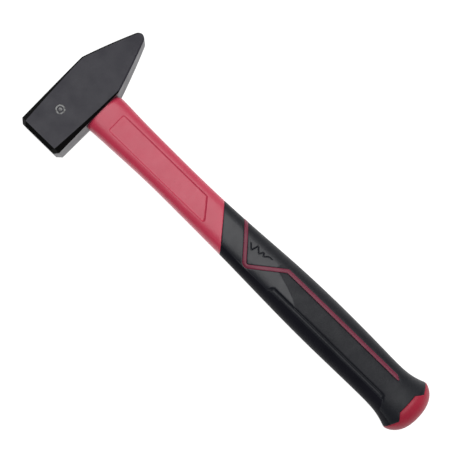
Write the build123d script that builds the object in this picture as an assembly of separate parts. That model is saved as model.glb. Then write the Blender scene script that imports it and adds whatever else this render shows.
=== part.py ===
from build123d import *
import math
import os

os.makedirs("parts", exist_ok=True)

# All sizes are in millimetres. The hammer lies on its side: +Z is up, the handle runs
# along -Y, the striking face looks along -X and the peen along +X. The plane z = 0 is
# the one the hammer rests on, and the middle of the eye is on the line x = 0, y = 0.

# Overall sizes
head_length = 96.1  # striking face to peen tip
head_height = 33.0  # along the handle
head_thick = 30.0
total_length = 319.5  # top of the head to the end of the cap

# Head
face_offset = 42.7  # striking face to the eye's axis
face_chamfer = 2.8
bevel_at_face = 3.8  # leg of the long edges' bevels, at the striking face
bevel_at_middle = 2.0
bevel_at_shoulder = 1.0
shoulder_x = 15.0  # where the peen starts
shoulder_blend = 6.0  # radius of the round where the peen starts
peen_tip_r = 3.9
peen_bulge = 0.35  # how far the peen's flanks bow outwards
peen_tip_thick = 20.0  # along the peen's edge, less than the head's thickness
mark_x = -19.1
mark_y = 2.3
mark_outer_r = 3.3
mark_inner_r = 2.1
mark_dot_r = 1.2
mark_depth = 0.3

# Eye, an oval that opens out towards the top of the head
eye_bottom_long = 23.0
eye_bottom_short = 15.5
eye_flare = 3.0  # how much wider the oval is at the top
resin_below_top = 0.6  # top of the resin, below the top of the head

# Core rod
core_long = 17.0
core_short = 11.5
core_below_resin = 2.0  # resin over the rod's upper end

# Handle
cap_dome = 11.25  # length of the cap's dome
grip_wall = 3.0  # thickness of the black sleeve
panel_depth = 0.8
panel_width = 14.6
panel_below_head = 11.8
panel_above_seam = 14.6
panel_end_rise = 0.80  # rise of the panel's slanted end per millimetre of x
panel_corner = 1.8
grip_length = 167.45  # cap's rim to the slanted seam, at x = 0
seam_rise = 0.80  # rise of that seam per millimetre of x

# Ribbon let into the sleeve
ribbon_width = 2.6
ribbon_depth = 1.2
ribbon_proud = 0.15
ribbon_x = 8.7
ribbon_vertex_x = -9.0
ribbon_vertex_up = 139.4  # heights here and below are above the cap's rim
ribbon_turn_up = 116.6
ribbon_end_up = 16.2
ribbon_point = 3.0  # length of the slanted cut at its end
ribbon_slope = 0.85
ribbon_blend = 2.6

# Groove round the finger pad, and a zigzag mark
groove_width = 0.9
groove_depth = 0.8
groove_x = -6.3
groove_start_up = 115.6
groove_end_up = 16.8
groove_return_x = -12.7
groove_return = 3.9
zigzag_width = 0.8
zigzag_depth = 0.4
zigzag_blend = 0.5
zigzag_points = [
    (5.1, 146.8),
    (1.7, 143.3),
    (7.0, 141.8),
    (3.3, 138.2),
    (6.6, 136.2),
    (4.0, 134.8),
    (6.6, 132.2),
    (6.9, 129.4),
]

# Cap, its tabs and its spigot
cap_flare = 20.0  # half the width of the widest place, at the cap's rim
cap_clear = 0.2  # cap's rim above the plane that the head lies on
cap_skirt = 3.0  # how far the sleeve's shape carries on below the rim
tab_left = -6.7
tab_right = 7.8
tab_up = 1.95
notch_left = -11.4
notch_right = 12.7
notch_down = 2.2
side_up = 0.75  # the cap's edge at the finger side and the palm side
collar_length = 5.0
spigot_length = 11.0
bond_gap = 1.0
fit_gap = 0.05  # between the spigot and the bore it enters

# Positions that follow from the sizes above
mid_z = head_thick / 2
head_top = head_height / 2
head_bottom = -head_height / 2
end_y = head_top - total_length
rim_y = end_y + cap_dome
skirt_y = rim_y - cap_skirt
cap_thick = head_thick - 2 * cap_clear
seam_mid_y = rim_y + grip_length
collar_y = rim_y + collar_length
core_end_y = collar_y + spigot_length + bond_gap
far = 60.0  # longer than anything it has to pass through


def slab(low, high):
    """Box between two corners."""
    size = [b - a for a, b in zip(low, high)]
    centre = [(a + b) / 2 for a, b in zip(low, high)]
    return Pos(*centre) * Box(*size)


def through(outline):
    """A flat outline in X and Y, carried through the whole thickness."""
    return extrude(Pos(0, 0, mid_z) * outline, amount=far, both=True)


def oval_ring(y, left, right, thick, power):
    """One cross-section of the handle, between an ellipse and a rounded rectangle."""
    centre = (left + right) / 2
    half = (right - left) / 2
    points = []
    for i in range(32):
        turn = 2 * math.pi * i / 32
        across = math.copysign(abs(math.cos(turn)) ** (2 / power), math.cos(turn))
        up = math.copysign(abs(math.sin(turn)) ** (2 / power), math.sin(turn))
        points.append((centre + half * across, y, mid_z + thick / 2 * up))
    return Face(Wire([Edge.make_spline(points, periodic=True)]))


def dome_share(depth):
    """The dome's width at a depth below the rim, as a share of its width there."""
    return (1 - 0.998 * (depth / cap_dome) ** 1.5) ** 0.35


# Cross-sections of the handle from the head to just below the cap's rim. Each row is the
# place along Y, the finger side, the palm side, the thickness and the squareness. The
# neck's rows hang from the head and the seam, and the grip's stand on the cap's rim.
neck_top_y = head_bottom - 13.8
neck_end_y = seam_mid_y + 20.6
tail_half = 16.25
tail_thick = 25.6
sections = [
    (head_bottom, -14.8, 13.2, 22.4, 2.8),
    (head_bottom - 1.2, -14.9, 14.1, 22.0, 3.2),
    (head_bottom - 3.3, -14.8, 14.5, 21.6, 3.5),
    (neck_top_y, -14.3, 14.15, 21.4, 3.8),
    ((neck_top_y + neck_end_y) / 2, -13.15, 13.25, 21.0, 3.8),
    (neck_end_y, -13.45, 13.2, 21.4, 3.6),
    (seam_mid_y - 9.4, -14.0, 14.2, 23.2, 3.0),
    (rim_y + 117.0, -15.5, 16.5, 26.0, 2.7),
    (rim_y + 78.0, -16.45, 17.45, 27.2, 2.6),
    (rim_y + 30.0, -16.0, 16.35, 25.6, 2.6),
    (rim_y + 17.5, -tail_half, tail_half, tail_thick, 2.5),
]
for up, share, power in ((10.5, 0.18, 2.35), (6.0, 0.5, 2.2), (2.0, 0.87, 2.05), (0, 1, 2.0)):
    half = tail_half + (cap_flare - tail_half) * share
    thick = tail_thick + (cap_thick - tail_thick) * share
    sections.append((rim_y + up, -half, half, thick, power))
skirt_share = dome_share(cap_skirt)
skirt_half = cap_flare * skirt_share
sections.append((skirt_y, -skirt_half, skirt_half, cap_thick * skirt_share, 2.0))


def handle_shape(inset):
    """The handle's outer shape, or the same shape a little smaller or larger."""
    rings = []
    for y, left, right, thick, power in sections:
        rings.append(oval_ring(y, left + inset, right - inset, thick - 2 * inset, power))
    return loft(rings)


def strip(points, radius, width):
    """A band of constant width along a line with rounded corners."""
    return trace(FilletPolyline(*points, radius=radius), line_width=width)


def eye_shape(y_low, y_high):
    """The oval space inside the head between two heights."""
    rings = []
    for y in (y_low, y_high):
        share = (y - head_bottom) / head_height
        long_side = eye_bottom_long + eye_flare * share
        short_side = eye_bottom_short + eye_flare * share
        plane = Plane(origin=(0, y, mid_z), x_dir=(1, 0, 0), z_dir=(0, -1, 0))
        rings.append(plane * Ellipse(long_side / 2, short_side / 2))
    return loft(rings)


def rod_shape(y_low, y_high, slack):
    """A piece of the core rod's oval section."""
    plane = Plane(origin=(0, y_high, mid_z), x_dir=(1, 0, 0), z_dir=(0, -1, 0))
    outline = SlotOverall(core_long - 2 * slack, core_short - 2 * slack)
    return extrude(plane * outline, amount=y_high - y_low)


# Head: side outline with the peen's bowed flanks and its round tip
tip_x = head_length - face_offset
tip_centre_x = tip_x - peen_tip_r
tip_lean = 0.35  # sine of the angle at which the flanks meet the tip's round
flank_x = tip_centre_x + peen_tip_r * tip_lean
flank_y = peen_tip_r * math.sqrt(1 - tip_lean**2)
bow_x = (shoulder_x + flank_x) / 2 + peen_bulge * 0.35
bow_y = (head_top + flank_y) / 2 + peen_bulge
flank_top = ThreePointArc((shoulder_x, head_top), (bow_x, bow_y), (flank_x, flank_y))
tip_round = ThreePointArc((flank_x, flank_y), (tip_x, 0), (flank_x, -flank_y))
flank_low = ThreePointArc((flank_x, -flank_y), (bow_x, -bow_y), (shoulder_x, head_bottom))
back = Polyline(
    (shoulder_x, head_bottom),
    (-face_offset, head_bottom),
    (-face_offset, head_top),
    (shoulder_x, head_top),
)
outline = make_face(flank_top + tip_round + flank_low + back)
head = extrude(outline, amount=head_thick)
peen_lean = (head_thick - peen_tip_thick) / 2
for side in (-1, 1):
    face_z = mid_z + side * head_thick / 2
    wedge = Polyline(
        (shoulder_x, face_z),
        (tip_x, face_z - side * peen_lean),
        (tip_x + 1, face_z - side * peen_lean),
        (tip_x + 1, face_z + side),
        (shoulder_x, face_z + side),
        close=True,
    )
    wedge_plane = Plane(origin=(0, 0, 0), x_dir=(1, 0, 0), z_dir=(0, -1, 0))
    head -= extrude(wedge_plane * make_face(wedge), amount=far, both=True)
shoulder_edges = [
    edge
    for edge in head.edges().filter_by(Axis.Z)
    if abs(edge.center().X - shoulder_x) < 0.1
]
head = fillet(shoulder_edges, shoulder_blend)
head = chamfer(head.faces().sort_by(Axis.X)[0].edges(), face_chamfer)


def bevel_cut(y_side, z_side):
    """Tapering cut along one long edge of the head."""
    rings = []
    stations = [
        (-face_offset - 1, bevel_at_face + 0.1),
        (-face_offset * 0.45, bevel_at_middle),
        (shoulder_x, bevel_at_shoulder),
    ]
    for x, leg in stations:
        corner_y = y_side * head_height / 2
        corner_z = mid_z + z_side * head_thick / 2
        points = [
            (x, corner_y - y_side * leg, corner_z + z_side * 1),
            (x, corner_y - y_side * leg, corner_z),
            (x, corner_y, corner_z - z_side * leg),
            (x, corner_y + y_side * 1, corner_z - z_side * leg),
            (x, corner_y + y_side * 1, corner_z + z_side * 1),
        ]
        rings.append(Face(Wire.make_polygon(points, close=True)))
    return loft(rings, ruled=True)


for y_side in (-1, 1):
    for z_side in (-1, 1):
        head -= bevel_cut(y_side, z_side)
mark_ring = Circle(mark_outer_r) - Circle(mark_inner_r) + Circle(mark_dot_r)
head -= Pos(mark_x, mark_y, head_thick - mark_depth) * extrude(mark_ring, amount=far)
head -= eye_shape(head_bottom, head_top)

# Resin and rod in the eye
resin_top = head_top - resin_below_top
core_top = resin_top - core_below_resin
core_rod = rod_shape(core_end_y, core_top, 0)
eye_resin = eye_shape(head_bottom, resin_top) - rod_shape(head_bottom - 1, core_top, 0)

# Handle pieces
outer = handle_shape(0)
inner = handle_shape(grip_wall)
seam_low = seam_mid_y - seam_rise * far
seam_high = seam_mid_y + seam_rise * far
seam_outline = Polyline((-far, seam_low), (far, seam_high), (far, far), (-far, far), close=True)
above_seam = through(make_face(seam_outline))
bore = rod_shape(rim_y - 1, head_bottom + 1, 0)

jacket = (outer & above_seam) + (inner - slab((-far, skirt_y - 1, -far), (far, collar_y, far)))
jacket -= bore
panel_side = panel_width / 2
panel_top_y = head_bottom - panel_below_head
panel_end_y = seam_mid_y + panel_above_seam
panel_outline = Polyline(
    (panel_corner - panel_side, panel_top_y),
    (panel_side - panel_corner, panel_top_y),
    (panel_side, panel_top_y - panel_corner),
    (panel_side, panel_end_y + panel_end_rise * panel_side),
    (-panel_side, panel_end_y - panel_end_rise * panel_side),
    (-panel_side, panel_top_y - panel_corner),
    close=True,
)
jacket -= through(make_face(panel_outline)) - handle_shape(panel_depth)

# Ribbon: up from the palm side, round its vertex and straight down the grip
ribbon_start_x = 24.0
ribbon_vertex_y = rim_y + ribbon_vertex_up
ribbon_start_y = ribbon_vertex_y + ribbon_slope * (ribbon_start_x - ribbon_vertex_x)
ribbon_line = [
    (ribbon_start_x, ribbon_start_y),
    (ribbon_vertex_x, ribbon_vertex_y),
    (ribbon_x, rim_y + ribbon_turn_up),
    (ribbon_x, rim_y + ribbon_end_up),
]
ribbon_left = ribbon_x - ribbon_width / 2
ribbon_cut = Polyline(
    (ribbon_left, rim_y + ribbon_end_up),
    (ribbon_left + ribbon_width, rim_y + ribbon_end_up),
    (ribbon_left + ribbon_width, rim_y + ribbon_end_up + ribbon_point),
    close=True,
)
ribbon_band = through(strip(ribbon_line, ribbon_blend, ribbon_width) - make_face(ribbon_cut))
ribbon = (ribbon_band & handle_shape(-ribbon_proud)) - handle_shape(ribbon_depth)

# Cap: dome, zigzag edge with its tabs, collar inside the sleeve and spigot inside the jacket
dome_rings = []
for share in (0, 0.12, 0.26, 0.42, 0.58, 0.74, 0.88, 0.96, 1):
    depth = cap_skirt + (cap_dome - cap_skirt) * share
    half = cap_flare * dome_share(depth)
    dome_rings.append(oval_ring(rim_y - depth, -half, half, cap_thick * dome_share(depth), 2.0))
dome = loft(dome_rings)
cap_outline = Polyline(
    (-far, rim_y + side_up),
    (-cap_flare, rim_y + side_up),
    (notch_left, rim_y - notch_down),
    (tab_left, rim_y + tab_up),
    (tab_right, rim_y + tab_up),
    (notch_right, rim_y - notch_down),
    (cap_flare, rim_y + side_up),
    (far, rim_y + side_up),
    (far, end_y),
    (-far, end_y),
    close=True,
)
cap_region = through(make_face(cap_outline))
cap_edge = (outer & cap_region) - inner
collar = inner & slab((-far, skirt_y, -far), (far, collar_y, far))
spigot = rod_shape(collar_y, collar_y + spigot_length, fit_gap)
end_cap = dome + cap_edge + collar + spigot
tail_bond = rod_shape(collar_y + spigot_length, core_end_y, 0)

# Sleeve: the outer shape below the seam, less all that shows through it
grip = outer - above_seam - inner
grip -= ribbon_band - handle_shape(ribbon_depth)
grip -= cap_region
groove_top_y = rim_y + groove_start_up
groove_end_y = rim_y + groove_end_up
groove_line = [
    (groove_return_x, groove_top_y + groove_return),
    (groove_x, groove_top_y),
    (groove_x, groove_end_y),
    (groove_return_x, groove_end_y - groove_return),
]
cuts = through(strip(groove_line, 1.0, groove_width)) - handle_shape(groove_depth)
zigzag_line = [(x, rim_y + up) for x, up in zigzag_points]
cuts += through(strip(zigzag_line, zigzag_blend, zigzag_width)) - handle_shape(zigzag_depth)
grip -= cuts

pieces = {
    "head": head,
    "eye_resin": eye_resin,
    "core_rod": core_rod,
    "handle_jacket": jacket,
    "grip_sleeve": grip,
    "inlay_ribbon": ribbon,
    "end_cap": end_cap,
    "tail_bond": tail_bond,
}
for name, piece in pieces.items():
    export_step(piece, "parts/" + name + ".step")
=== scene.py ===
import math

import bmesh
import bpy
import numpy as np
from mathutils import Matrix, Vector, kdtree
from mathutils.geometry import delaunay_2d_cdt


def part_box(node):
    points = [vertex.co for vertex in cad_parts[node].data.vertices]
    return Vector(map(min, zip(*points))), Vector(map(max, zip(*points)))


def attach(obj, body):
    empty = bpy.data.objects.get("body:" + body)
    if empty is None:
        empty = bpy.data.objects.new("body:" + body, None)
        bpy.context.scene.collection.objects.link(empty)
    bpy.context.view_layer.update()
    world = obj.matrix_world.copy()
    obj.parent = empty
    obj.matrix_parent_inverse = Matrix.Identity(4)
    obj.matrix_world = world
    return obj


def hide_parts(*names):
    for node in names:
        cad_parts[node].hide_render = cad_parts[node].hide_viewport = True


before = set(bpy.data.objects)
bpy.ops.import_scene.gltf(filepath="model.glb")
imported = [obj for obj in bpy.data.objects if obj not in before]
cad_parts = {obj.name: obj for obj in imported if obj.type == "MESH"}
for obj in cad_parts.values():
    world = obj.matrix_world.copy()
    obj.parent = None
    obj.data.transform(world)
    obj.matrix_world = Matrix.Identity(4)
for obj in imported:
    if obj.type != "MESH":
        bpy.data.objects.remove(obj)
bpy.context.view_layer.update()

MM = 0.001
HEAD_LOW, HEAD_HIGH = (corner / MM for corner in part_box("head"))
CAP_LOW, CAP_HIGH = (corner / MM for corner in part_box("end_cap"))
RESIN_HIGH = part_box("eye_resin")[1] / MM

# Places and sizes in millimetres, in the row frame.
MID_Z = (HEAD_LOW.z + HEAD_HIGH.z) / 2
HEAD_BOTTOM = HEAD_LOW.y
HEAD_TOP = HEAD_HIGH.y
END_Y = CAP_LOW.y
CAP_DOME = 11.25
RIM_Y = END_Y + CAP_DOME
SKIRT_Y = RIM_Y - 3.0  # where the dome takes over from the handle's shape
CAP_FLARE = CAP_HIGH.x
CAP_THICK = CAP_HIGH.z - CAP_LOW.z

GRIP_LENGTH = 167.45  # cap's rim to the slanted seam, at x = 0
SEAM_MID_Y = RIM_Y + GRIP_LENGTH
SEAM_RISE = 0.80
NECK_TOP_Y = HEAD_BOTTOM - 13.8
NECK_END_Y = SEAM_MID_Y + 20.6


def dome_share(depth):
    """The dome's width at a depth below the rim, as a share of its width there."""
    return (1 - min(depth / CAP_DOME, 1.0) ** 1.5) ** 0.35


# Cross-sections of the handle: place along Y, finger side, palm side, thickness, squareness.
HANDLE = [
    (HEAD_BOTTOM, -14.8, 13.2, 22.4, 2.8),
    (HEAD_BOTTOM - 1.2, -14.9, 14.1, 22.0, 3.2),
    (HEAD_BOTTOM - 3.3, -14.8, 14.5, 21.6, 3.5),
    (NECK_TOP_Y, -14.3, 14.15, 21.4, 3.8),
    ((NECK_TOP_Y + NECK_END_Y) / 2, -13.15, 13.25, 21.0, 3.8),
    (NECK_END_Y, -13.45, 13.2, 21.4, 3.6),
    (SEAM_MID_Y - 9.4, -14.0, 14.2, 23.2, 3.0),
    (RIM_Y + 117, -15.35, 16.4, 26.0, 2.7),
    (RIM_Y + 78, -16.25, 17.3, 27.2, 2.6),
    (RIM_Y + 30, -16.0, 16.35, 25.6, 2.6),
    (RIM_Y + 17.5, -16.25, 16.25, 25.6, 2.5),
    (RIM_Y + 10.5, -17.0, 17.0, 26.2, 2.35),
    (RIM_Y + 6, -18.1, 18.1, 27.6, 2.2),
    (RIM_Y + 2, -19.5, 19.5, 29.1, 2.05),
]
for depth in (0, 1.1, RIM_Y - SKIRT_Y):
    half = CAP_FLARE * dome_share(depth)
    HANDLE.append((RIM_Y - depth, -half, half, CAP_THICK * dome_share(depth), 2.0))
ROUND = 14.5  # millimetres of the unrolled surface per radian

RIBBON_WIDTH = 2.6
RIBBON_PROUD = 0.12
RIBBON_X = 8.7
RIBBON_VERTEX = (-9.0, RIM_Y + 139.4)
RIBBON_TURN_Y = RIM_Y + 116.6
RIBBON_END_Y = RIM_Y + 16.2
RIBBON_POINT = 3.0  # length of the slanted cut at its end
RIBBON_SLOPE = 0.85
RIBBON_BLEND = 2.6

PANEL = [
    (-7.3, HEAD_BOTTOM - 11.8),
    (7.3, HEAD_BOTTOM - 11.8),
    (7.3, SEAM_MID_Y + 20.4),
    (-7.3, SEAM_MID_Y + 8.8),
]
PANEL_BLEND = 1.6
PANEL_DEPTH = 0.8

GROOVE = [
    (-12.4, RIM_Y + 119.2),
    (-6.3, RIM_Y + 115.6),
    (-6.3, RIM_Y + 16.8),
    (-13.0, RIM_Y + 12.6),
]
GROOVE_BLEND = 1.0
GROOVE_HALF = 0.55
LIP_RISE = 0.32  # raised edge of the finger pad, along the groove
GROOVE_DEPTH = 0.75

FACET = [
    (5.0, RIM_Y + 123.0),
    (3.6, RIM_Y + 119.5),
    (0.4, RIM_Y + 109.2),
    (-2.7, RIM_Y + 101.6),
    (-6.3, RIM_Y + 96.0),
]
FACET_DEPTH = 0.25

FLANK = 0.82  # turn, from the middle of the finger side, over which the sleeve is duller and painted darker as shade
POLISH_ENDS = (7.4, 8.7, 10.0)  # where the polish fades out towards the palm side

ZIGZAG = [
    (5.1, RIM_Y + 146.8),
    (1.7, RIM_Y + 143.3),
    (7.0, RIM_Y + 141.8),
    (3.3, RIM_Y + 138.2),
    (6.6, RIM_Y + 136.2),
    (4.0, RIM_Y + 134.8),
    (6.6, RIM_Y + 132.2),
    (6.9, RIM_Y + 129.4),
]
ZIGZAG_DEPTH = 0.4

# Edge between the sleeve and the cap: a tab on each broad side with a notch beside each end.
CAP_SIDE_Y = RIM_Y + 0.75
CAP_EDGE = [
    (12.7, RIM_Y - 2.2),
    (7.8, RIM_Y + 1.95),
    (-6.7, RIM_Y + 1.95),
    (-11.4, RIM_Y - 2.2),
]

EDGE_ROUND = 0.35  # how far in from a moulding's edge its surface starts to fall
EDGE_DROP = 0.22
STEP = 0.85  # spacing of the surface mesh


def natural_spline(places, values):
    """A smooth curve through points, as a function."""
    x = np.array(places, float)
    y = np.array(values, float)
    order = np.argsort(x)
    x, y = x[order], y[order]
    n = len(x)
    gap = np.diff(x)
    matrix = np.eye(n)
    side = np.zeros(n)
    for i in range(1, n - 1):
        matrix[i, i - 1 : i + 2] = gap[i - 1], 2 * (gap[i - 1] + gap[i]), gap[i]
        side[i] = 6 * ((y[i + 1] - y[i]) / gap[i] - (y[i] - y[i - 1]) / gap[i - 1])
    bend = np.linalg.solve(matrix, side)

    def curve(at):
        at = np.clip(np.asarray(at, float), x[0], x[-1])
        i = np.clip(np.searchsorted(x, at) - 1, 0, n - 2)
        a = (x[i + 1] - at) / gap[i]
        b = 1 - a
        cubic = ((a**3 - a) * bend[i] + (b**3 - b) * bend[i + 1]) * gap[i] ** 2 / 6
        return a * y[i] + b * y[i + 1] + cubic

    return curve


left_at, right_at, thick_at, power_at = (
    natural_spline([row[0] for row in HANDLE], [row[k] for row in HANDLE]) for k in (1, 2, 3, 4)
)


def surface(phi, y, lift=0.0):
    """Points on the handle: phi turns round it from the palm side over the top, lift is outwards."""
    phi, y = np.asarray(phi, float), np.asarray(y, float)
    half = (right_at(y) - left_at(y)) / 2
    centre = (right_at(y) + left_at(y)) / 2
    rise = thick_at(y) / 2
    power = power_at(y)
    c, s = np.cos(phi), np.sin(phi)
    reach = (np.abs(c / half) ** power + np.abs(s / rise) ** power) ** (-1 / power)
    x, z = reach * c, reach * s
    nx = np.sign(x) * np.abs(x / half) ** (power - 1) / half
    nz = np.sign(z) * np.abs(z / rise) ** (power - 1) / rise
    size = np.hypot(nx, nz)
    return np.stack([centre + x + lift * nx / size, y, MID_Z + z + lift * nz / size], -1)


def phi_of(x, y):
    """The turn at which the top face has this x."""
    half = (right_at(y) - left_at(y)) / 2
    centre = (right_at(y) + left_at(y)) / 2
    rise = thick_at(y) / 2
    power = power_at(y)
    share = np.clip((x - centre) / half, -1, 1)
    return np.arctan2(rise * (1 - np.abs(share) ** power) ** (1 / power), x - centre)


def plan_x(phi, y):
    return surface(phi, y)[..., 0]


def resample(points, gap):
    """The same line with points at most gap apart."""
    out = [points[0]]
    for a, b in zip(points[:-1], points[1:]):
        n = max(1, int(math.ceil(math.dist(a, b) / gap)))
        out += [(a[0] + (b[0] - a[0]) * i / n, a[1] + (b[1] - a[1]) * i / n) for i in range(1, n + 1)]
    return out


def rounded(points, radius, closed=False):
    """A line through points with its corners rounded."""
    n = len(points)
    out = []
    for i in range(n):
        if not closed and i in (0, n - 1):
            out.append(points[i])
            continue
        p = Vector(points[i])
        a = (Vector(points[i - 1]) - p).normalized()
        b = (Vector(points[(i + 1) % n]) - p).normalized()
        half = a.angle(b) / 2
        back = radius / math.tan(half)
        middle = p + (a + b).normalized() * radius / math.sin(half)
        start, end = p + a * back - middle, p + b * back - middle
        turn = start.angle_signed(end)
        steps = max(2, int(abs(turn) * radius / 0.3))
        for k in range(steps + 1):
            out.append(tuple(middle + Matrix.Rotation(-turn * k / steps, 2) @ start))
    if closed:
        out.append(out[0])
    return out


def slanted(y_at_zero, slope, phi_from, phi_to):
    """The line y = y_at_zero + slope * x wrapped on the handle, in unrolled coordinates."""
    n = max(2, int(abs(phi_to - phi_from) / math.radians(2.2)))
    phi = np.linspace(phi_from, phi_to, n + 1)
    y = np.full_like(phi, y_at_zero)
    for _ in range(12):
        y = y_at_zero + slope * plan_x(phi, y)
    return [(ROUND * a, b) for a, b in zip(phi, y)]


def unroll(points, side=1, gap=0.5):
    """A plan line on the top face, or on the bottom face with side -1, in unrolled coordinates."""
    dense = np.array(resample(points, gap))
    phi = phi_of(dense[:, 0], dense[:, 1])
    return [(side * ROUND * a, b) for a, b in zip(phi, dense[:, 1])]


def mirrored(line):
    return [(-a, b) for a, b in line]


def tree_of(lines, gap=0.12):
    points = [p for line in lines for p in resample(line, gap)]
    tree = kdtree.KDTree(len(points))
    for i, p in enumerate(points):
        tree.insert((p[0], p[1], 0), i)
    tree.balance()
    return tree


def distances(tree, points):
    return np.array([tree.find((p[0], p[1], 0))[2] for p in points])


def beside(line, offset, closed):
    """A line parallel to another. Points that would fall nearer than the offset are left out."""
    pts = np.array(resample(line, 0.45))
    if closed:
        ahead = np.roll(pts[:-1], -1, 0) - np.roll(pts[:-1], 1, 0)
        pts = pts[:-1]
    else:
        ahead = np.gradient(pts, axis=0)
    normal = np.stack([-ahead[:, 1], ahead[:, 0]], -1)
    normal /= np.linalg.norm(normal, axis=1)[:, None] + 1e-12
    moved = pts + normal * offset
    keep = distances(tree_of([line]), moved) > abs(offset) * 0.97
    moved = [tuple(p) for p, k in zip(moved, keep) if k]
    if closed and moved:
        moved.append(moved[0])
    return moved


# The ribbon's outline on the unrolled surface: one closed loop across the palm side.
def ribbon_outline():
    half = RIBBON_WIDTH / 2
    vx, vy = RIBBON_VERTEX
    stop = RIBBON_END_Y + RIBBON_POINT
    centre = rounded(
        [(6.0, vy + RIBBON_SLOPE * (6.0 - vx)), (vx, vy), (RIBBON_X, RIBBON_TURN_Y), (RIBBON_X, stop)],
        RIBBON_BLEND,
    )
    pts = np.array(resample(centre, 0.5))
    ahead = np.gradient(pts, axis=0)
    normal = np.stack([-ahead[:, 1], ahead[:, 0]], -1)
    normal /= np.linalg.norm(normal, axis=1)[:, None]
    edges = []
    for sign in (1, -1):
        plan = [tuple(p) for p in pts + sign * half * normal]
        y_zero = plan[0][1] - RIBBON_SLOPE * plan[0][0]
        phi_start = float(phi_of(plan[0][0], plan[0][1]))
        edges.append(slanted(y_zero, RIBBON_SLOPE, 0.0, phi_start)[:-1] + unroll(plan))
    end = []
    for across, rise in ((half - 0.3, 0.85), (0.3 - half + 0.6, 0.03), (0.3 - half, 0.07), (-half, 0.3)):
        x, y = RIBBON_X + across, RIBBON_END_Y + rise * RIBBON_POINT
        end.append((ROUND * float(phi_of(x, y)), y))
    first, second = edges
    if first[-1][0] > second[-1][0]:
        end.reverse()
    near = first + end + second[::-1]
    loop = near + mirrored(near)[::-1]
    loop = [p for i, p in enumerate(loop) if i == 0 or math.dist(p, loop[i - 1]) > 1e-4]
    if math.dist(loop[0], loop[-1]) > 1e-4:
        loop.append(loop[0])
    return loop


def cap_edge_line():
    """The edge between the sleeve and the cap, once round the handle."""
    tab = unroll(CAP_EDGE, gap=0.4)
    near = []
    for end, middle in ((tab[0], 0.0), (tab[-1], math.pi)):
        turns = np.linspace(middle, end[0] / ROUND, 22)
        share = (1 - np.abs(np.cos(turns))) / (1 - abs(math.cos(turns[-1])))
        near.append([(ROUND * a, CAP_SIDE_Y + (end[1] - CAP_SIDE_Y) * b) for a, b in zip(turns, share)])
    half_way = near[0][:-1] + tab + near[1][::-1][1:]
    return mirrored(half_way)[::-1][:-1] + half_way


def inside(loop, points):
    """Which points lie inside a closed loop."""
    loop = np.array(loop)
    x, y = points[:, 0], points[:, 1]
    result = np.zeros(len(points), bool)
    for (x1, y1), (x2, y2) in zip(loop[:-1], loop[1:]):
        if y1 == y2:
            continue
        hit = (y1 > y) != (y2 > y)
        result ^= hit & (x < (x2 - x1) * (y - y1) / (y2 - y1) + x1)
    return result


def smooth(t):
    t = np.clip(t, 0, 1)
    return t * t * (3 - 2 * t)


seam = slanted(SEAM_MID_Y, SEAM_RISE, -math.pi, math.pi)
ribbon = ribbon_outline()
panels = [unroll(rounded(PANEL, PANEL_BLEND, closed=True), s) for s in (1, -1)]
grooves = [unroll(rounded(GROOVE, GROOVE_BLEND), s) for s in (1, -1)]
facets = [unroll(FACET, s) for s in (1, -1)]
zigzags = [unroll(ZIGZAG, s, 0.3) for s in (1, -1)]
cap_edge = cap_edge_line()
flank_lines = [
    [(s * ROUND * turn, SEAM_MID_Y + 12), (s * ROUND * turn, RIM_Y + 118)]
    for s in (1, -1)
    for turn in (math.pi - FLANK,)
]
skirt = [(ROUND * a, SKIRT_Y) for a in np.linspace(-math.pi, math.pi, 141)]
top = [(ROUND * a, HEAD_BOTTOM) for a in np.linspace(-math.pi, math.pi, 121)]
rows = np.linspace(HEAD_BOTTOM, SKIRT_Y, int((HEAD_BOTTOM - SKIRT_Y) / STEP) + 1)
sides = [[(s * ROUND * math.pi, y) for y in rows] for s in (-1, 1)]

lines = [skirt, top, *sides]


def add_feature(line, offsets, closed=False):
    for d in offsets:
        moved = line if d == 0 else beside(line, d, closed)
        kept = [p for p in moved if abs(p[0]) <= ROUND * math.pi + 1e-6 and SKIRT_Y <= p[1] <= HEAD_BOTTOM]
        lines.append(kept)


add_feature(seam, (0, EDGE_ROUND, -EDGE_ROUND))
add_feature(ribbon, (0, EDGE_ROUND, -EDGE_ROUND), closed=True)
for line in panels:
    add_feature(line, (0, 0.35, -0.35, 0.8, -0.8), closed=True)
for line in grooves:
    add_feature(line, (0, GROOVE_HALF * 0.5, -GROOVE_HALF * 0.5, GROOVE_HALF, -GROOVE_HALF, 1.1, -1.1))
for line in facets:
    add_feature(line, (0.25, -0.25))
for line in zigzags:
    add_feature(line, (0, 0.3, -0.3, 0.6, -0.6))
for line in flank_lines:
    add_feature(line, (0,))
add_feature(cap_edge, (0, EDGE_ROUND, -EDGE_ROUND))

# One mesh of the whole unrolled handle, whose edges follow every line above.
points, edges = [], []
for line in lines:
    first = len(points)
    points += line
    edges += [(first + i, first + i + 1) for i in range(len(line) - 1)]
tree = tree_of(lines, 0.3)
columns = np.linspace(-math.pi, math.pi, int(2 * math.pi * ROUND / STEP) + 1)[1:-1]
grid = []
for j, y in enumerate(rows[1:-1]):
    shift = 0.25 * (columns[1] - columns[0]) * (1 if j % 2 else -1)
    grid += [(ROUND * (a + shift), y) for a in columns]
gaps = distances(tree, grid)
points += [p for p, g in zip(grid, gaps) if g > 0.38]
flat, _, triangles, *_ = delaunay_2d_cdt([Vector(p) for p in points], edges, [], 0, 1e-5)
flat = np.array([tuple(p) for p in flat])
triangles = np.array([tuple(t) for t in triangles])
centres = flat[triangles].mean(1)

is_ribbon = inside(ribbon, centres)
is_cap = centres[:, 1] < np.interp(centres[:, 0], *np.array(cap_edge).T)
centre_x = plan_x(centres[:, 0] / ROUND, centres[:, 1])
is_neck = centres[:, 1] > SEAM_MID_Y + SEAM_RISE * centre_x
is_sleeve = ~(is_ribbon | is_cap | is_neck)

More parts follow.
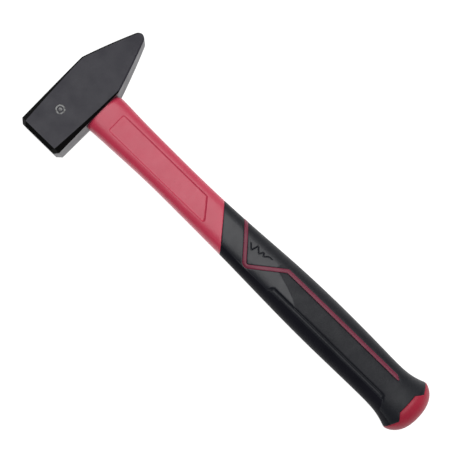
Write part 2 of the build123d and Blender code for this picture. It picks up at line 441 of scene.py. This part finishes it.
groove_tree = tree_of(grooves)
zigzag_tree = tree_of(zigzags)
facet_tree = tree_of(facets)
panel_tree = tree_of(panels)
edge_tree = tree_of([seam, ribbon, cap_edge])


def arc_height(x):
    """Where the faceted field starts, at a given x."""
    return np.interp(x, [p[0] for p in FACET][::-1], [p[1] for p in FACET][::-1])


def field_share(p):
    """1 on the sunken field between the groove and the ribbon, 0 off it."""
    x = plan_x(p[:, 0] / ROUND, p[:, 1])
    gap = distances(facet_tree, p)
    share = smooth(0.5 + np.where(p[:, 1] < arc_height(x), gap, -gap))
    share *= smooth(x - GROOVE[1][0] + 0.5) * smooth(RIBBON_X - x + 0.5)
    return share * smooth((p[:, 1] - RIM_Y - 11) / 9)


def finish_of(p):
    """Which of the sleeve's finishes each part has, by its number in SLEEVE_FINISHES."""
    turn = np.abs(p[:, 0]) / ROUND
    x = plan_x(p[:, 0] / ROUND, p[:, 1])
    finish = np.searchsorted(POLISH_ENDS, x)
    finish[p[:, 1] < arc_height(x)] = 3
    pad_top = GROOVE[1][1] - 0.59 * (x - GROOVE[1][0])
    pad_end = GROOVE[2][1] + 0.63 * (x - GROOVE[2][0])
    pad = (x < GROOVE[1][0]) & (p[:, 1] < pad_top) & (p[:, 1] > pad_end)
    finish[pad] = 2
    # The outer part of the finger pad and the finger-side flank take the dull copy: partly a duller finish,
    # partly painted shade.
    dull_and_shaded = (pad & (x < GROOVE[1][0] - 2.7)) | (turn > math.pi - 0.5)
    dull_and_shaded |= (turn > math.pi - FLANK) & (p[:, 1] >= pad_top)
    finish[dull_and_shaded] = 4
    return finish


def lift_of(piece, p):
    """How far each point of a piece stands out from the plain handle surface."""
    edge = distances(edge_tree, p)
    lift = -EDGE_DROP * (1 - smooth(edge / EDGE_ROUND))
    if piece == "neck":
        reach = distances(panel_tree, p)
        signed = np.where(inside(panels[0], p) | inside(panels[1], p), reach, -reach)
        deep = PANEL_DEPTH * (0.7 + 0.3 * smooth((PANEL[0][1] - 2 - p[:, 1]) / 75))
        lift -= deep * smooth((signed + 0.1) / 0.8)
    if piece == "sleeve":
        gap = distances(groove_tree, p)
        x = plan_x(p[:, 0] / ROUND, p[:, 1])
        fade = smooth((x + 10.8) / 3.0)
        lift -= GROOVE_DEPTH * fade * (1 - smooth(gap / 1.0))
        lip = smooth((x - GROOVE[1][0] + 2.6) / 1.4) * smooth((GROOVE[1][0] + 0.3 - x) / 0.8)
        lip *= smooth((GROOVE[1][1] - p[:, 1]) / 4) * smooth((p[:, 1] - GROOVE[2][1]) / 4)
        lift += LIP_RISE * lip
        lift -= ZIGZAG_DEPTH * (1 - smooth(distances(zigzag_tree, p) / 0.5))
        lift -= FACET_DEPTH * field_share(p)
    if piece == "ribbon":
        lift += RIBBON_PROUD
    return lift


def mesh_object(name, vertices, faces, slots_of=None):
    """A smooth-shaded object from points in millimetres."""
    mesh = bpy.data.meshes.new(name)
    places = [tuple(v * MM) for v in np.asarray(vertices, float)]
    mesh.from_pydata(places, [], [tuple(map(int, f)) for f in faces])
    if slots_of is not None:
        mesh.polygons.foreach_set("material_index", np.asarray(slots_of, np.int32))
    obj = bpy.data.objects.new(name, mesh)
    bpy.context.scene.collection.objects.link(obj)
    shape = bmesh.new()
    shape.from_mesh(mesh)
    bmesh.ops.remove_doubles(shape, verts=shape.verts, dist=2e-6)
    bmesh.ops.dissolve_degenerate(shape, dist=1e-6, edges=shape.edges)
    bmesh.ops.recalc_face_normals(shape, faces=shape.faces)
    shape.to_mesh(mesh)
    shape.free()
    mesh.shade_smooth()
    return obj


def skin(piece, mask):
    """The vertices and triangles of one moulding's outer skin."""
    chosen = triangles[mask]
    used, faces = np.unique(chosen, return_inverse=True)
    faces = faces.reshape(-1, 3)
    p = flat[used]
    return surface(p[:, 0] / ROUND, p[:, 1], lift_of(piece, p)), faces, p


def walls(obj, thickness):
    """Gives a skin its thickness, inwards."""
    solid = obj.modifiers.new("wall", "SOLIDIFY")
    solid.thickness = thickness * MM
    solid.offset = -1
    apply_modifiers(obj)
    obj.data.set_sharp_from_angle(angle=math.radians(48))


def apply_modifiers(obj):
    bpy.context.view_layer.update()
    graph = bpy.context.evaluated_depsgraph_get()
    mesh = bpy.data.meshes.new_from_object(obj.evaluated_get(graph))
    obj.modifiers.clear()
    obj.data = mesh


def finish_piece(obj, nodes, materials):
    for material in materials:
        obj.data.materials.append(material)
    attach(obj, "root")
    if nodes:
        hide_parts(*nodes)
    return obj


# ---------------------------------------------------------------- materials

class Nodes:
    """A short way to build a node material."""

    def __init__(self, name):
        self.material = bpy.data.materials.new(name)
        self.material.use_nodes = True
        self.tree = self.material.node_tree
        self.shader = self.tree.nodes["Principled BSDF"]
        self.place = self.tree.nodes.new("ShaderNodeTexCoord").outputs["Object"]

    def node(self, kind, **values):
        made = self.tree.nodes.new(kind)
        for key, value in values.items():
            if key in made.inputs:
                if hasattr(value, "is_linked"):
                    self.tree.links.new(value, made.inputs[key])
                else:
                    made.inputs[key].default_value = value
            else:
                setattr(made, key, value)
        return made

    def noise(self, scale, detail=4.0, roughness=0.55):
        made = self.node("ShaderNodeTexNoise", Scale=scale, Detail=detail, Roughness=roughness)
        self.tree.links.new(self.place, made.inputs["Vector"])
        return made.outputs["Fac"]

    def ramp(self, fac, stops):
        made = self.tree.nodes.new("ShaderNodeValToRGB")
        self.tree.links.new(fac, made.inputs["Fac"])
        elements = made.color_ramp.elements
        while len(elements) < len(stops):
            elements.new(0.5)
        for element, (at, colour) in zip(elements, stops):
            element.position = at
            element.color = (*colour, 1) if len(colour) == 3 else colour
        return made.outputs["Color"]

    def spread(self, fac, low, high, from_low=0.3, from_high=0.7):
        made = self.tree.nodes.new("ShaderNodeMapRange")
        self.tree.links.new(fac, made.inputs["Value"])
        made.inputs["From Min"].default_value = from_low
        made.inputs["From Max"].default_value = from_high
        made.inputs["To Min"].default_value = low
        made.inputs["To Max"].default_value = high
        return made.outputs["Result"]

    def bump(self, height, strength, distance):
        made = self.node("ShaderNodeBump", Strength=strength, Distance=distance)
        self.tree.links.new(height, made.inputs["Height"])
        previous = self.shader.inputs["Normal"].links
        if previous:
            self.tree.links.new(previous[0].from_socket, made.inputs["Normal"])
        self.tree.links.new(made.outputs["Normal"], self.shader.inputs["Normal"])

    def set(self, **values):
        for key, value in values.items():
            socket = self.shader.inputs[key.replace("_", " ")]
            if hasattr(value, "is_linked"):
                self.tree.links.new(value, socket)
            else:
                socket.default_value = value


def moulded(name, dark, light, rough, grain_scale, grain, specular=0.5):
    """A moulded plastic or elastomer: slight mottling, uneven gloss and a fine grain."""
    m = Nodes(name)
    m.set(Base_Color=m.ramp(m.noise(38, 5, 0.6), [(0.3, dark), (0.7, light)]))
    m.set(Roughness=m.spread(m.noise(160, 4), rough[0], rough[1]))
    m.set(Specular_IOR_Level=specular)
    m.bump(m.noise(grain_scale, 3, 0.5), grain, 0.0004)
    m.bump(m.noise(55, 2, 0.4), 0.06, 0.002)
    return m.material


def lacquered_steel(name, dark, light, rough, specular):
    """Black lacquer over forged steel, with faint scale and rubbed patches."""
    m = Nodes(name)
    m.set(Base_Color=m.ramp(m.noise(30, 6, 0.62), [(0.28, dark), (0.72, light)]))
    m.set(Roughness=m.spread(m.noise(70, 6, 0.6), rough[0], rough[1]))
    m.set(Specular_IOR_Level=specular)
    m.bump(m.noise(900, 3, 0.5), 0.12, 0.0003)
    m.bump(m.noise(60, 4, 0.5), 0.10, 0.0015)
    return m.material


def bare_steel():
    """Steel laid bare by a punch."""
    m = Nodes("bare_steel")
    m.set(Base_Color=m.ramp(m.noise(700, 3), [(0.35, (0.04, 0.04, 0.04)), (0.62, (0.17, 0.17, 0.17))]))
    m.set(Roughness=m.spread(m.noise(500, 3), 0.3, 0.5), Metallic=1.0)
    return m.material


def glass_fibre():
    """Resin-bound glass fibres that run along the rod."""
    m = Nodes("glass_fibre")
    stretch = m.node("ShaderNodeMapping", Scale=(2200.0, 60.0, 2200.0))
    m.tree.links.new(m.place, stretch.inputs["Vector"])
    fibre = m.node("ShaderNodeTexNoise", Scale=1.0, Detail=3.0)
    m.tree.links.new(stretch.outputs["Vector"], fibre.inputs["Vector"])
    m.set(Base_Color=m.ramp(fibre.outputs["Fac"], [(0.3, (0.50, 0.42, 0.22)), (0.7, (0.74, 0.68, 0.46))]))
    m.set(Roughness=m.spread(fibre.outputs["Fac"], 0.35, 0.55))
    m.bump(fibre.outputs["Fac"], 0.3, 0.0002)
    return m.material


def cast_resin():
    """Black casting resin, a little uneven where it set."""
    m = Nodes("cast_resin")
    m.set(Base_Color=m.ramp(m.noise(120, 5), [(0.3, (0.010, 0.010, 0.011)), (0.7, (0.028, 0.027, 0.027))]))
    m.set(Roughness=m.spread(m.noise(200, 4), 0.25, 0.5))
    m.bump(m.noise(220, 4), 0.35, 0.0006)
    return m.material


RED_NECK = moulded("red_neck", (0.59, 0.042, 0.090), (0.65, 0.050, 0.104), (0.34, 0.42), 1500, 0.10, 0.58)
RED_INLAY = moulded("red_inlay", (0.18, 0.017, 0.046), (0.22, 0.021, 0.057), (0.42, 0.52), 1500, 0.10, 0.45)
RED_CAP = moulded("red_cap", (0.40, 0.019, 0.046), (0.46, 0.023, 0.054), (0.40, 0.52), 1300, 0.16, 0.36)
BLACK_SMOOTH = moulded(
    "black_smooth", (0.007, 0.008, 0.013), (0.011, 0.012, 0.018), (0.36, 0.44), 1600, 0.10, 0.49
)
BLACK_FADING = moulded(
    "black_fading", (0.007, 0.008, 0.013), (0.011, 0.012, 0.018), (0.39, 0.48), 1400, 0.20, 0.42
)
BLACK_FADED = moulded(
    "black_faded", (0.008, 0.009, 0.013), (0.012, 0.013, 0.018), (0.42, 0.52), 1200, 0.30, 0.35
)
BLACK_GRAINED = moulded(
    "black_grained", (0.008, 0.009, 0.013), (0.012, 0.013, 0.018), (0.46, 0.56), 1100, 0.40, 0.29
)
# A duller copy of the grained black with a darker colour and almost no reflection: partly a duller finish,
# partly painted shade on the finger side.
BLACK_DULL_SHADED = moulded(
    "black_dull_painted_shade", (0.007, 0.007, 0.011), (0.010, 0.010, 0.015), (0.52, 0.62), 1100, 0.40, 0.08
)
STEEL = lacquered_steel("lacquered_steel", (0.010, 0.009, 0.019), (0.019, 0.017, 0.028), (0.34, 0.48), 0.37)
# A near-black, barely reflecting copy of the lacquered steel for the head's chamfers: painted shade
# standing in for the dark surroundings they reflect.
STEEL_EDGE_PAINTED_SHADE = lacquered_steel(
    "painted_shade_edge", (0.003, 0.003, 0.003), (0.007, 0.007, 0.007), (0.40, 0.50), 0.02
)
BARE = bare_steel()
SLEEVE_FINISHES = [BLACK_SMOOTH, BLACK_FADING, BLACK_FADED, BLACK_GRAINED, BLACK_DULL_SHADED]
FIBRE = glass_fibre()
RESIN = cast_resin()

# ---------------------------------------------------------------- handle

points3, faces3, _ = skin("neck", is_neck)
neck = mesh_object("neck_moulding", points3, faces3)
walls(neck, 2.4)
finish_piece(neck, ["handle_jacket"], [RED_NECK])

points3, faces3, _ = skin("sleeve", is_sleeve)
sleeve = mesh_object("grip_sleeve_soft", points3, faces3, finish_of(centres[is_sleeve]))
walls(sleeve, 2.2)
finish_piece(sleeve, ["grip_sleeve"], SLEEVE_FINISHES)

points3, faces3, _ = skin("ribbon", is_ribbon)
inlay = mesh_object("inlay_stripe", points3, faces3)
walls(inlay, 1.2)
finish_piece(inlay, ["inlay_ribbon"], [RED_INLAY])


def cap_mesh():
    """The cap's edge and its dome, which share the points along the skirt line."""
    points, faces, edge_flat = skin("cap", is_cap)
    line = np.where(np.abs(edge_flat[:, 1] - SKIRT_Y) < 1e-4)[0]
    line = line[np.argsort(edge_flat[line, 0])][:-1]
    middle = np.array([0, 0, MID_Z])
    ring = line
    faces = [tuple(f) for f in faces]
    start = points[line]
    first = RIM_Y - SKIRT_Y
    for part in (0.31, 0.36, 0.42, 0.51, 0.6, 0.69, 0.78, 0.86, 0.92, 0.965, 0.99, 0.999):
        depth = CAP_DOME * part
        share = dome_share(depth) / dome_share(first)
        made = middle + (start - middle) * np.array([share, 0, share])
        made[:, 1] = RIM_Y - depth
        below = len(points) + np.arange(len(line))
        points = np.vstack([points, made])
        faces += [(a, b, d, c) for a, b, c, d in zip(ring, np.roll(ring, -1), below, np.roll(below, -1))]
        ring = below
    points = np.vstack([points, [[0, END_Y, MID_Z]]])
    tip = len(points) - 1
    faces += [(a, b, tip) for a, b in zip(ring, np.roll(ring, -1))]
    return points, faces


cap_points, cap_faces = cap_mesh()
cap = mesh_object("end_cap_moulding", cap_points, cap_faces)
walls(cap, 2.0)
finish_piece(cap, ["end_cap"], [RED_CAP])

# ---------------------------------------------------------------- head

HEAD_HALF_Y = (HEAD_TOP - HEAD_BOTTOM) / 2
HEAD_HALF_Z = (HEAD_HIGH.z - HEAD_LOW.z) / 2
FACE_X = HEAD_LOW.x
TIP_X = HEAD_HIGH.x
FACE_CHAMFER = 2.8
SHOULDER_X = 15.0
SHOULDER_BLEND = 6.0
TIP_R = 3.9
PEEN_BULGE = 0.35
TIP_HALF_Z = 10.0
BEVEL_FACE = 3.8
BEVEL_SHOULDER = 1.0
EYE_BOTTOM = (11.5, 7.75)
EYE_TOP = (13.0, 9.25)
MARK = (-19.1, 2.3)


def bevel_leg(x):
    share = np.clip((SHOULDER_X - x) / (SHOULDER_X - FACE_X), 0, 1)
    return BEVEL_SHOULDER + (BEVEL_FACE - BEVEL_SHOULDER) * share**1.5


def head_profile():
    """Stations along the head: x, half height."""
    rows = [(FACE_X + FACE_CHAMFER, HEAD_HALF_Y)]
    x = FACE_X + 5
    while x < SHOULDER_X - 3:
        rows.append((x, HEAD_HALF_Y))
        x += 3
    lean_x = TIP_X - TIP_R + TIP_R * 0.35
    lean_y = TIP_R * math.sqrt(1 - 0.35**2)
    slope = math.atan2(HEAD_HALF_Y - lean_y, lean_x - SHOULDER_X)
    back = SHOULDER_BLEND * math.tan(slope / 2)
    for k in range(5):
        a = slope * 0.8 * k / 4
        x = SHOULDER_X - back + SHOULDER_BLEND * math.sin(a)
        rows.append((x, HEAD_HALF_Y - SHOULDER_BLEND * (1 - math.cos(a))))
    x0, y0 = rows[-1]
    for k in range(1, 15):
        t = k / 14
        bow = 4 * PEEN_BULGE * t * (1 - t)
        rows.append((x0 + (lean_x - x0) * t, y0 + (lean_y - y0) * t + bow))
    start = math.asin(0.35)
    for k in range(1, 9):
        a = start + (math.radians(86) - start) * k / 8
        rows.append((TIP_X - TIP_R + TIP_R * math.sin(a), TIP_R * math.cos(a)))
    return rows


def octagon(x, half_y, half_z, leg):
    leg = min(leg, half_y * 0.5)
    pts = []
    for sy, sz in ((1, 1), (-1, 1), (-1, -1), (1, -1)):
        pair = [
            (x, sy * (half_y - leg), MID_Z + sz * half_z),
            (x, sy * half_y, MID_Z + sz * (half_z - leg)),
        ]
        if sy * sz > 0:
            pair.reverse()
        pts += pair
    return pts


def prism(name, rings):
    """A closed object through rings of equally many points."""
    n = len(rings[0])
    points = [p for ring in rings for p in ring]
    faces = [tuple(range(n))[::-1], tuple(range((len(rings) - 1) * n, len(rings) * n))]
    for r in range(len(rings) - 1):
        for i in range(n):
            j = (i + 1) % n
            faces.append((r * n + i, r * n + j, (r + 1) * n + j, (r + 1) * n + i))
    return mesh_object(name, np.array(points, float), faces)


def cut(obj, tool):
    """Takes one object's shape out of another."""
    change = obj.modifiers.new("cut", "BOOLEAN")
    change.operation = "DIFFERENCE"
    change.solver = "EXACT"
    change.object = tool
    apply_modifiers(obj)
    bpy.data.objects.remove(tool)


def ellipse_ring(y, half_x, half_z, n=96):
    turns = [2 * math.pi * i / n for i in range(n)]
    return [(half_x * math.cos(a), y, MID_Z + half_z * math.sin(a)) for a in turns]


def eye_at(y):
    share = (y - HEAD_BOTTOM) / (HEAD_TOP - HEAD_BOTTOM)
    return [a + (b - a) * share for a, b in zip(EYE_BOTTOM, EYE_TOP)]


def circle_ring(z, radius, n=48):
    turns = [2 * math.pi * i / n for i in range(n)]
    return [(MARK[0] + radius * math.cos(a), MARK[1] + radius * math.sin(a), z) for a in turns]


def half_z_at(x):
    """Half the head's thickness, which falls a little along the peen."""
    share = np.clip((x - SHOULDER_X + 4) / (TIP_X - SHOULDER_X + 4), 0, 1)
    return HEAD_HALF_Z - (HEAD_HALF_Z - TIP_HALF_Z) * share**1.25


rings = [octagon(FACE_X, HEAD_HALF_Y - FACE_CHAMFER, HEAD_HALF_Z - FACE_CHAMFER, BEVEL_FACE * 0.8)]
for x, half_y in head_profile():
    rings.append(octagon(x, half_y, half_z_at(x), bevel_leg(x)))
head = prism("head_steel_body", rings)
cut(head, prism("eye_tool", [ellipse_ring(y, *eye_at(y)) for y in (HEAD_BOTTOM - 1, HEAD_TOP + 1)]))
tool = prism("mark_tool", [circle_ring(HEAD_HIGH.z - 0.3, 3.2), circle_ring(HEAD_HIGH.z + 1, 3.4)])
cut(tool, prism("mark_core", [circle_ring(HEAD_HIGH.z - 1, 2.2), circle_ring(HEAD_HIGH.z + 2, 1.9)]))
cut(head, tool)
cut(head, prism("mark_dot", [circle_ring(HEAD_HIGH.z - 0.3, 1.2), circle_ring(HEAD_HIGH.z + 1, 1.4)]))
for material in (STEEL, BARE, STEEL_EDGE_PAINTED_SHADE):
    head.data.materials.append(material)
for face in head.data.polygons:
    middle = face.center / MM
    in_eye = abs(middle.x) < EYE_TOP[0] + 0.5 and abs(middle.y) < 12
    flat_side = max(abs(n) for n in face.normal) > 0.97
    if math.dist(middle.xy, MARK) < 3.9 and HEAD_HIGH.z - 0.5 < middle.z < HEAD_HIGH.z - 0.01:
        face.material_index = 1
    # Chamfers towards the striking face, and those on the half away from the handle, take the painted-shade
    # copy of the steel.
    elif not in_eye and not flat_side and abs(face.normal.z) > 0.3:
        face.material_index = 2 if middle.x < SHOULDER_X or middle.y > 0 else 0
head.data.set_sharp_from_angle(angle=math.radians(180))
soften = head.modifiers.new("soften", "BEVEL")
soften.width = 0.35 * MM
soften.segments = 3
soften.limit_method = "ANGLE"
soften.angle_limit = math.radians(20)
soften.harden_normals = True
apply_modifiers(head)
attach(head, "root")
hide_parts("head")

# Resin in the eye: a shallow dished top that climbs a little at the wall.
rings = [ellipse_ring(HEAD_BOTTOM + 0.5, *[h - 0.02 for h in eye_at(HEAD_BOTTOM + 0.5)])]
rings.append(ellipse_ring(RESIN_HIGH.y, *[h - 0.02 for h in eye_at(RESIN_HIGH.y)]))
for k in range(1, 7):
    share = 1 - k / 7
    sink = 0.35 * (1 - share**3)
    rings.append(ellipse_ring(RESIN_HIGH.y - sink, *[h * share for h in eye_at(RESIN_HIGH.y)]))
resin = prism("eye_resin_fill", rings)
resin.data.set_sharp_from_angle(angle=math.radians(40))
finish_piece(resin, ["eye_resin"], [RESIN])

for node, material in (("core_rod", FIBRE), ("tail_bond", RESIN)):
    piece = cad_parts[node]
    piece.data.materials.clear()
    piece.data.materials.append(material)

# ---------------------------------------------------------------- stage, light and camera

bpy.ops.mesh.primitive_plane_add(size=24, location=(0, -0.13, -0.0002))
floor = bpy.context.object
floor.name = "floor"
pale = Nodes("pale_floor")
tone = pale.ramp(pale.noise(3, 3), [(0.3, (0.29, 0.29, 0.29)), (0.7, (0.31, 0.31, 0.31))])
pale.set(Base_Color=tone, Roughness=0.9)
pale.set(Emission_Color=(1, 1, 1, 1), Emission_Strength=0.94)
floor.data.materials.append(pale.material)


def softbox(name, place, target, size, power):
    light = bpy.data.lights.new(name, "AREA")
    light.shape = "RECTANGLE"
    light.size, light.size_y = size
    light.energy = power
    obj = bpy.data.objects.new(name, light)
    bpy.context.scene.collection.objects.link(obj)
    obj.location = place
    obj.rotation_euler = (Vector(target) - Vector(place)).to_track_quat("-Z", "Y").to_euler()
    obj.visible_camera = False


softbox("overhead", (0.20, -0.13, 1.15), (0.20, -0.13, 0), (1.22, 1.1), 12.4)
softbox("right_side", (1.0, -0.13, 0.4), (0.0, -0.13, 0.0), (0.3, 1.1), 1.3)

world = bpy.data.worlds.new("studio")
world.use_nodes = True
world.node_tree.nodes["Background"].inputs["Color"].default_value = (1, 1, 1, 1)
world.node_tree.nodes["Background"].inputs["Strength"].default_value = 0.04
bpy.context.scene.world = world
bpy.context.scene.view_settings.view_transform = "Standard"

CAMERA_DISTANCE = 0.714
camera_data = bpy.data.cameras.new("camera")
camera_data.lens = 85.2
camera_data.sensor_width = 36
camera = bpy.data.objects.new("camera", camera_data)
bpy.context.scene.collection.objects.link(camera)
right = Vector((0.697, -0.717, 0)).normalized()
up = Vector((0, 0, 1)).cross(right)
turn = Matrix((right, up, (0, 0, 1))).transposed()
CAMERA_ROLL = math.radians(4.2)  # how far the camera leans towards the striking face
target = Matrix.Translation((0.0023, -0.1296, MID_Z * MM))
lean = Matrix.Rotation(-CAMERA_ROLL, 4, "Y")
camera.matrix_world = target @ lean @ Matrix.Translation((0, 0, CAMERA_DISTANCE)) @ turn.to_4x4()
bpy.context.scene.camera = camera
